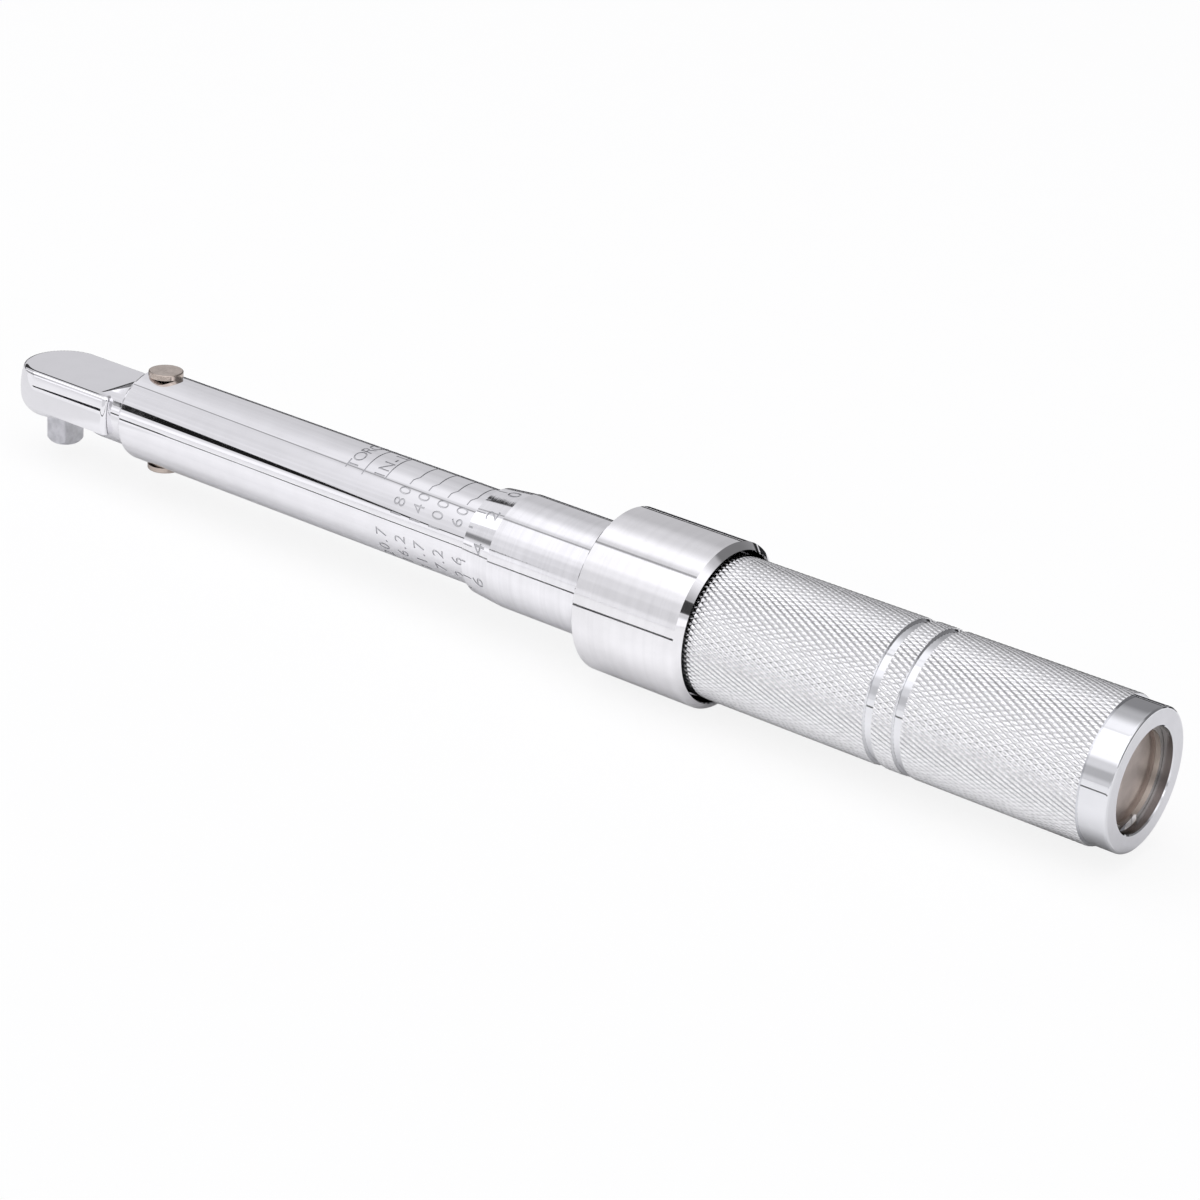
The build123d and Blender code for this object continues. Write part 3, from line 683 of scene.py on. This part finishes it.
def scale_engraving():
    """Torque scales of the tube: two rows of numbers, their lines and the headings."""
    pieces = []
    for text, first, x in HEADINGS:
        pieces += word(text, first, x)
    for x, elevations in HEADING_LINES:
        pieces.append(engraved_line([(x, elevation) for elevation in elevations]))
    for index, number in enumerate(INCH_NUMBERS):
        pieces += number_row(number, INCH_LAST, INCH_NUMBER_X + INCH_NUMBER_PITCH * index)
        line_x = INCH_LINE_X + INCH_LINE_PITCH * index
        pieces.append(engraved_line([(line_x + jog, elevation) for jog, elevation in INCH_LINE]))
    for index, number in enumerate(METRIC_NUMBERS):
        base_x = METRIC_NUMBER_X + METRIC_NUMBER_PITCH * index
        pieces += number_row(number, METRIC_LAST, base_x)
        line_x = base_x - METRIC_LINE_BACK
        pieces.append(engraved_line([(line_x, elevation) for elevation in METRIC_LINE]))
    return pieces


def make_tube(materials):
    profile = tube_profile()
    mesh = turned_mesh("tube_engraved", profile)
    cutter = cutter_mesh(
        wrap(scale_engraving(), lambda x: TUBE_R),
        cross_bar(PIVOT_X, PIVOT_HOLE, Vector((0, 0, 1))),
        cross_bar(NUT_PIN_X, NUT_PIN_HOLE, Vector((0, 1, 0))))
    body = carve(
        "tube_engraved", mesh, cutter, materials["chrome_tube"], materials["chrome_engraved"])
    set_turned_normals(body.data, profile)
    return body


# Pieces of the handle

def thimble_radius(x):
    if x > BEVEL_END:
        return THIMBLE_R
    share = (x - THIMBLE_FRONT) / (BEVEL_END - THIMBLE_FRONT)
    return THIMBLE_EDGE_R + share * (THIMBLE_R - THIMBLE_EDGE_R)


def make_thimble(materials):
    """Thimble with its ring of numbers and ticks, and the plain sleeve behind it."""
    profile = [
        (THIMBLE_FRONT, HANDLE_BORE), (THIMBLE_FRONT, THIMBLE_EDGE_R), (BEVEL_END, THIMBLE_R),
        (CLIP_GROOVE[0], THIMBLE_R), (CLIP_GROOVE[0], CLIP_GROOVE_R), (CLIP_GROOVE[1], CLIP_GROOVE_R),
        (CLIP_GROOVE[1], THIMBLE_R), (GRIP_FRONT, THIMBLE_R), (GRIP_FRONT, HANDLE_BORE)]
    mesh = turned_mesh("thimble", profile)
    pieces = []
    step = 360 / BEVEL_NUMBERS
    pitch = math.degrees(LETTER_PITCH / THIMBLE_R)
    for index in range(BEVEL_NUMBERS):
        elevation = BEVEL_ZERO - step * index
        text = str(BEVEL_COUNTS_BY * index)
        for place, symbol in enumerate(text):
            turn = elevation + (place - (len(text) - 1) / 2) * pitch
            pieces.append(
                character(symbol, turn, BEVEL_NUMBER_X, BEVEL_LETTER_SIZE, BEVEL_LETTER_WIDTH))
        pieces.append(engraved_line(
            [(TICK_START, elevation), (LONG_TICK_END, elevation)], THIMBLE_EDGE_R, LONG_TICK_WIDTH))
        half = elevation - step / 2
        pieces.append(engraved_line(
            [(TICK_START, half), (SHORT_TICK_END, half)], THIMBLE_EDGE_R, SHORT_TICK_WIDTH))
    cutter = cutter_mesh(wrap(pieces, thimble_radius))
    body = carve(
        "thimble", mesh, cutter, materials["chrome_turned"], materials["chrome_engraved"])
    set_turned_normals(body.data, profile)
    return body


def make_grip(materials):
    """Core of the grip with its plain grooves, the end band and the bore."""
    profile = [(GRIP_FRONT, HANDLE_BORE), (GRIP_FRONT, UNDER_KNURL)]
    for x in GROOVES:
        profile += [(x, UNDER_KNURL), (x + GROOVE_FLANK, GROOVE_FLOOR),
                    (x + GROOVE_WIDTH - GROOVE_FLANK, GROOVE_FLOOR), (x + GROOVE_WIDTH, UNDER_KNURL)]
    profile += [(GRIP_REAR, UNDER_KNURL), (GRIP_REAR, BAND_R)]
    profile += rounded_corner(END_FACE, BAND_R, BAND_ROUND, -1)[::-1]
    profile += [
        (END_FACE, END_BORE + BORE_CHAMFER), (END_FACE - BORE_CHAMFER, END_BORE),
        (SNAP_GROOVE[1], END_BORE), (SNAP_GROOVE[1], SNAP_GROOVE_R),
        (SNAP_GROOVE[0], SNAP_GROOVE_R), (SNAP_GROOVE[0], END_BORE),
        (END_SHOULDER, END_BORE), (END_SHOULDER, NUT_ROOM),
        (WEB_REAR, NUT_ROOM), (WEB_REAR, STUD_HOLE),
        (WEB_FRONT, STUD_HOLE), (WEB_FRONT, HANDLE_BORE)]
    mesh = turned_mesh("grip_core", profile)
    body = add_object("grip_core", mesh)
    set_turned_normals(mesh, profile)
    for finish in ("chrome_band", "bore_steel", "shaded_face_chrome"):
        mesh.materials.append(materials[finish])
    for polygon in mesh.polygons:
        centre = polygon.center / MM
        radius = math.hypot(centre.y, centre.z - AXIS_Z)
        in_bore = END_SHOULDER - 0.1 < centre.x < END_FACE - BORE_CHAMFER - 0.01
        # The end face takes the darker chrome, its darkness painted shade
        if centre.x > END_FACE - 0.001:
            polygon.material_index = 2
        elif in_bore and radius < END_BORE + 0.1:
            polygon.material_index = 1
    return body


def knurl_spans():
    """First and last station of each knurled length, between the plain grooves."""
    edges = [GRIP_FRONT]
    for x in GROOVES:
        edges += [x, x + GROOVE_WIDTH]
    edges.append(GRIP_REAR)
    return list(zip(edges[::2], edges[1::2]))


def knurl_span(start, end):
    """Diamond knurl between two stations, one hand of its grooves the deeper one."""
    work = bmesh.new()
    lattice = {}
    half_pitch = KNURL_AXIAL_PITCH / 2
    step = 180 / KNURL_COUNT

    def lattice_point(row, column, radius):
        key = (row, column % (2 * KNURL_COUNT))
        if key not in lattice:
            lattice[key] = work.verts.new(at(row * half_pitch, radius, key[1] * step))
        return lattice[key]

    first_row = math.floor(start / half_pitch) - 1
    last_row = math.ceil(end / half_pitch) + 1
    corners = [(0, -1), (-1, 0), (0, 1), (1, 0)]
    for row in range(first_row, last_row + 1):
        for index in range(KNURL_COUNT):
            column = 2 * index + row % 2
            top = [work.verts.new(at(
                (row + KNURL_FLAT * r) * half_pitch, GRIP_R, (column + KNURL_FLAT * c) * step))
                for r, c in corners]
            work.faces.new(top)
            for side, (r, c) in enumerate(corners):
                next_r, next_c = corners[(side + 1) % 4]
                deep = r + next_r == c + next_c
                middle_row = row + (r + next_r) / 2
                middle_column = column + (c + next_c) / 2
                low = lattice_point(row + r, column + c, KNURL_ROOT)
                middle = lattice_point(
                    middle_row, middle_column, KNURL_ROOT if deep else KNURL_SHALLOW_ROOT)
                high = lattice_point(row + next_r, column + next_c, KNURL_ROOT)
                first_top, next_top = top[side], top[(side + 1) % 4]
                work.faces.new((low, middle, first_top))
                work.faces.new((middle, next_top, first_top))
                work.faces.new((middle, high, next_top))
    for x, outward in ((start, -1), (end, 1)):
        geometry = work.verts[:] + work.edges[:] + work.faces[:]
        bmesh.ops.bisect_plane(
            work, geom=geometry, plane_co=(x * MM, 0, 0), plane_no=(outward, 0, 0),
            clear_outer=True, dist=1e-8)
    close_ends(work)
    bmesh.ops.recalc_face_normals(work, faces=work.faces)
    return work


def close_ends(work):
    """Closes the cut ends of a knurl down to the core, edge by edge, so that each run is alike."""
    lower = {}

    def lowered(vertex):
        if vertex not in lower:
            offset = Vector((0, vertex.co.y, vertex.co.z - AXIS_Z * MM))
            scale = UNDER_KNURL * MM / offset.length
            lower[vertex] = work.verts.new(
                (vertex.co.x, offset.y * scale, offset.z * scale + AXIS_Z * MM))
        return lower[vertex]

    for edge in [e for e in work.edges if e.is_boundary]:
        first, second = edge.verts
        work.faces.new((first, second, lowered(second), lowered(first)))


def set_knurl_normals(mesh):
    """Rounds each diamond from its worn crest down to the steep bottom of the grooves."""
    mesh.polygons.foreach_set("use_smooth", [True] * len(mesh.polygons))
    normals = [None] * len(mesh.loops)
    for polygon in mesh.polygons:
        flat = polygon.normal
        for loop, vertex in zip(polygon.loop_indices, polygon.vertices):
            co = mesh.vertices[vertex].co
            outward = Vector((0, co.y, co.z - AXIS_Z * MM))
            depth = (GRIP_R - outward.length / MM) / (GRIP_R - KNURL_ROOT)
            outward.normalize()
            if abs(flat.x) > 0.9:
                normals[loop] = flat
                continue
            steep = flat + (flat - outward * flat.dot(outward)) * KNURL_STEEPER
            share = min(max(depth, 0.0), 1.0)
            normals[loop] = (outward * (1 - share) + steep * share).normalized()
    mesh.normals_split_custom_set(normals)


def make_knurl(materials):
    vertices, faces = [], []
    for start, end in knurl_spans():
        work = knurl_span(start, end)
        work.verts.index_update()
        offset = len(vertices)
        vertices += [v.co.copy() for v in work.verts]
        faces += [[offset + v.index for v in f.verts] for f in work.faces]
        work.free()
    mesh = bpy.data.meshes.new("grip_knurl")
    mesh.from_pydata(vertices, [], faces)
    mesh.materials.append(materials["chrome_knurl"])
    set_knurl_normals(mesh)
    return add_object("grip_knurl", mesh)


# Studio

class Studio:
    """Light that comes from each direction, with ways to lay more of it on.

    turn is the direction's angle round X from the near side, over the top. slant is how far it
    leans along the wrench, and most panels change with it from the head's end to the handle's.
    """

    def __init__(self, tree):
        self.tree = tree
        direction = tree.add("ShaderNodeTexCoord").outputs["Generated"]
        x, y, z = tree.add("ShaderNodeSeparateXYZ", {"Vector": direction}).outputs
        angle = tree.math("ARCTAN2", z, tree.math("MULTIPLY", y, -1.0))
        self.turn = tree.math("MULTIPLY", angle, 180 / math.pi)
        squares = tree.math("ADD", tree.math("MULTIPLY", y, y), tree.math("MULTIPLY", z, z))
        across = tree.math("MAXIMUM", tree.math("SQRT", squares), 0.001)
        self.slant = tree.math("DIVIDE", x, across)
        self.to_middle = tree.ramp(self.slant, *HEAD_TO_MIDDLE, kind="LINEAR")
        self.to_right = tree.ramp(self.slant, *MIDDLE_TO_HANDLE, kind="LINEAR")
        self.light = self.along_wrench(*WALL_LIGHT)

    def inside(self, value, low, high, soft, high_soft=None):
        """1 between low and high and 0 elsewhere, with soft edges."""
        high_soft = high_soft or soft
        rise = self.tree.ramp(value, low - soft, low + soft)
        fall = self.tree.ramp(value, high - high_soft, high + high_soft)
        return self.tree.math("SUBTRACT", rise, fall)

    def along_wrench(self, left, middle, right):
        """Light that changes along the wrench, from the head's end to the handle's."""
        near_head = self.tree.mix_value(self.to_middle, left, middle)
        return self.tree.mix_value(self.to_right, near_head, right)

    def lay(self, covered, level):
        """Lays a level over the light, as far as it is covered."""
        self.light = self.tree.mix_value(covered, self.light, level)

    def panel(self, low, high, low_soft, high_soft, levels):
        """Panel between two turns, all along the wrench."""
        covered = self.inside(self.turn, low, high, low_soft, high_soft)
        self.lay(covered, self.along_wrench(*levels))

    def spot(self, turns, reach, level):
        """Spot between two turns, as far as its reach along the wrench."""
        between = self.inside(self.turn, *turns)
        self.lay(self.tree.math("MULTIPLY", between, reach), level)

    def end_spot(self, turns, slants, level):
        """Spot that comes in over two slants, towards an end of the wrench."""
        self.spot(turns, self.tree.ramp(self.slant, *slants), level)


def add_seam(studio):
    """Thin seam between two soft boxes, from the head's end to the grip."""
    tree = studio.tree
    middle = tree.ramp(studio.slant, *SEAM_SLANTS, *SEAM_TURNS, "LINEAR")
    offset = tree.math("SUBTRACT", studio.turn, middle)
    seam = studio.inside(offset, -SEAM_HALF, SEAM_HALF, SEAM_SOFT)
    reach = tree.ramp(studio.slant, *SEAM_END, 1.0, 0.0)
    studio.lay(tree.math("MULTIPLY", seam, reach), SEAM_LIGHT)


def add_gap(studio):
    """Dark gap that the tube shows as its black band, tapering towards the thimble."""
    tree = studio.tree

    def edge(first, second):
        return tree.math("ADD", tree.ramp(studio.slant, *first, "LINEAR"),
                         tree.ramp(studio.slant, *second, "LINEAR"))

    below_top = tree.ramp(
        tree.math("SUBTRACT", edge(*GAP_UPPER), studio.turn), -GAP_SOFT, GAP_SOFT)
    above_bottom = tree.ramp(
        tree.math("SUBTRACT", studio.turn, edge(*GAP_LOWER)), -GAP_SOFT, GAP_SOFT)
    gap = tree.math("MULTIPLY", below_top, above_bottom)
    reach = studio.inside(studio.slant, *GAP_ENDS)
    studio.lay(tree.math("MULTIPLY", gap, reach), GAP_LIGHT)


def add_bevel_spots(studio):
    """What lies beyond the handle's end, as the ring's rear bevel shows it."""
    reach = studio.inside(studio.slant, *BEVEL_ENDS)
    fading = studio.tree.ramp(studio.turn, *FADING_LEVELS, "LINEAR")
    for turns, level in (BEVEL_DARK, (BEVEL_FADING, fading), BEVEL_BRIGHT, BEVEL_DULLER):
        studio.spot(turns, reach, level)


def make_world():
    """Soft boxes and walls of the studio, laid out round the wrench's axis."""
    world = bpy.data.worlds.new("studio")
    bpy.context.scene.world = world
    world.use_nodes = True
    tree = Nodes(world.node_tree)
    studio = Studio(tree)
    for panel in PANELS:
        studio.panel(*panel)
    add_seam(studio)
    add_gap(studio)
    studio.end_spot(*NECK_HAZE)
    studio.end_spot(*RAMP_LINE)
    add_bevel_spots(studio)
    for spot in (FAR_SHADE, HEAD_LINE, HEAD_GLINT):
        studio.end_spot(*spot)
    turns, slants, share = LOW_END
    studio.end_spot(turns, slants, tree.math("MULTIPLY", studio.light, share))

    cool = tree.add("ShaderNodeBackground", {"Color": COOL_WHITE, "Strength": studio.light})
    white = tree.add("ShaderNodeBackground", {"Color": WHITE, "Strength": 1.0})
    path = tree.add("ShaderNodeLightPath")
    shown = tree.add("ShaderNodeMixShader", {
        "Fac": path.outputs["Is Camera Ray"], 1: cool.outputs[0], 2: white.outputs[0]})
    tree.add("ShaderNodeOutputWorld", {"Surface": shown.outputs[0]})


def flat_strip(name, sections, z):
    """Level strip through (station, near y, far y) sections."""
    vertices = []
    for x, near, far in sections:
        vertices += [Vector((x, near, z)) * MM, Vector((x, far, z)) * MM]
    faces = []
    for first in range(0, len(vertices) - 2, 2):
        faces.append((first, first + 2, first + 3, first + 1))
    mesh = bpy.data.meshes.new(name)
    mesh.from_pydata(vertices, [], faces)
    return add_object(name, mesh)


def simple_material(name, shader_kind, inputs):
    """Material of one shader, the same all over."""
    material = bpy.data.materials.new(name)
    material.use_nodes = True
    tree = Nodes(material.node_tree)
    shader = tree.add(shader_kind, inputs)
    tree.add("ShaderNodeOutputMaterial", {"Surface": shader.outputs[0]})
    return material


def floor_finish():
    """White paper, lit a little by itself, and shaded near the wrench in reflections only."""
    material = bpy.data.materials.new("floor_paper")
    material.use_nodes = True
    tree = Nodes(material.node_tree)
    grain = tree.noise((60, 60, 60), detail=5.0)
    colour = tree.mix_colour(grain, (0.90, 0.90, 0.90, 1.0), (0.94, 0.94, 0.94, 1.0))
    coordinates = tree.add("ShaderNodeTexCoord").outputs["Object"]
    place = tree.add("ShaderNodeSeparateXYZ", {"Vector": coordinates})

    def fade(axis, start, end, *levels):
        """From one level to another, or from 0 to 1, between two places along an axis."""
        return tree.ramp(place.outputs[axis], start * MM, end * MM, *levels)

    close_by = fade("Y", *CLOSE_Y, 0.0, CLOSE_SHADE)
    head_end = tree.math("MULTIPLY", fade("X", *HEAD_X, 0.0, HEAD_SHADE), fade("Y", *HEAD_Y))
    band_length = tree.math("MULTIPLY", fade("X", *BAND_START_X), fade("X", *BAND_END_X, 1.0, 0.0))
    band_width = tree.math("MULTIPLY", fade("Y", *BAND_START_Y, 0.0, BAND_SHADE),
                           fade("Y", *BAND_END_Y, 1.0, 0.0))
    under_band = tree.math("MULTIPLY", band_length, band_width)
    shade = tree.math("MAXIMUM", tree.math("MAXIMUM", close_by, head_end), under_band)
    glow = tree.add("ShaderNodeEmission", {"Color": WHITE, "Strength": 1.0})
    path = tree.add("ShaderNodeLightPath")
    reflected = tree.math(
        "MAXIMUM", path.outputs["Is Glossy Ray"], path.outputs["Is Transmission Ray"])
    seen_colour = tree.mix_colour(tree.math("MULTIPLY", reflected, shade), colour, BLACK)
    paper = tree.add("ShaderNodeBsdfDiffuse", {"Color": seen_colour})
    share = tree.math("ADD", tree.math("MULTIPLY", path.outputs["Is Camera Ray"], GLOW_SEEN),
                      tree.math("MULTIPLY", reflected, GLOW_REFLECTED))
    mixed = tree.add("ShaderNodeMixShader", {"Fac": share, 1: paper.outputs[0], 2: glow.outputs[0]})
    tree.add("ShaderNodeOutputMaterial", {"Surface": mixed.outputs[0]})
    return material


def make_floor():
    """Pale floor that keeps the shadow, painted shade at the table's edges, and the white card.

    The edges and the card are seen in reflections only.
    """
    square = [(x, -FLOOR_REACH, FLOOR_REACH) for x in (-FLOOR_REACH, FLOOR_REACH)]
    floor = flat_strip("floor", square, FLOOR_Z - FLOOR_DROP)
    floor.data.materials.append(floor_finish())
    # Dark sheets of painted shade at the table's edges, seen in reflections only
    dark = simple_material("painted_edge_shade", "ShaderNodeBsdfDiffuse", {"Color": (0.02, 0.02, 0.022, 1.0)})
    card_paper = simple_material(
        "bounce_card", "ShaderNodeEmission", {"Color": WHITE, "Strength": CARD_LIGHT})
    near = flat_strip("near_edge_shade", NEAR_EDGE_SHADE, FLOOR_Z + EDGE_LIFT)
    far = flat_strip("far_edge_shade", FAR_EDGE_SHADE, FLOOR_Z + EDGE_LIFT)
    card = flat_strip("bounce_card", BOUNCE_CARD, FLOOR_Z + CARD_LIFT)
    for strip, material in ((near, dark), (far, dark), (card, card_paper)):
        strip.data.materials.append(material)
        strip.visible_camera = False
        strip.visible_diffuse = False
        strip.visible_shadow = False


def make_lamp():
    light = bpy.data.lights.new("overhead", "AREA")
    light.shape = "RECTANGLE"
    light.size, light.size_y = LAMP_SIZE
    light.energy = LAMP_ENERGY
    lamp = bpy.data.objects.new("overhead", light)
    lamp.location = LAMP_PLACE
    lamp.visible_glossy = False
    bpy.context.scene.collection.objects.link(lamp)


def make_camera():
    data = bpy.data.cameras.new("camera")
    data.sensor_width = 36.0
    data.lens = CAMERA_LENS
    data.clip_start = 0.01
    camera = bpy.data.objects.new("camera", data)
    right = Vector(CAMERA_RIGHT).normalized()
    up = Vector(CAMERA_UP).normalized()
    back = right.cross(up)
    turn = Matrix((right, up, back)).transposed().to_4x4()
    camera.matrix_world = Matrix.Translation(Vector(CAMERA_PLACE) * MM) @ turn
    bpy.context.scene.collection.objects.link(camera)
    bpy.context.scene.camera = camera


def main():
    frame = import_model()
    nodes = frame["nodes"]
    bpy.context.scene.view_settings.view_transform = "Standard"
    make_camera()
    make_world()
    make_floor()
    make_lamp()
    materials = make_materials()

    tube = make_tube(materials)
    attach(tube, "frame")
    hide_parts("tube")

    thimble = make_thimble(materials)
    core = make_grip(materials)
    knurl = make_knurl(materials)
    for piece in (thimble, core, knurl):
        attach(piece, "handle")
    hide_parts("handle")

    finishes = {
        "head": "chrome_head", "square_drive": "drive_steel", "detent_ball": "ball_steel",
        "detent_spring": "spring_steel", "pivot_pin": "pin_nickel", "pivot_screw": "pin_nickel",
        "adjusting_nut": "brass", "nut_pin_left": "inner_steel", "nut_pin_right": "inner_steel",
        "tilt_block": "inner_steel", "plunger": "inner_steel", "main_spring": "spring_steel",
        "spring_seat": "inner_steel", "thrust_ball": "ball_steel", "adjusting_screw": "inner_steel",
        "lock_nut": "inner_steel", "end_plug": "disc_plate", "end_ring": "ring_steel",
        "lock_ring": "chrome_ring", "lock_spring": "spring_steel", "stop_clip": "ring_steel",
        "lock_ball_1": "ball_steel", "lock_ball_2": "ball_steel", "lock_ball_3": "ball_steel",
        "lock_ball_4": "ball_steel"}
    for node, finish in finishes.items():
        wear(nodes[node], materials[finish])


main()
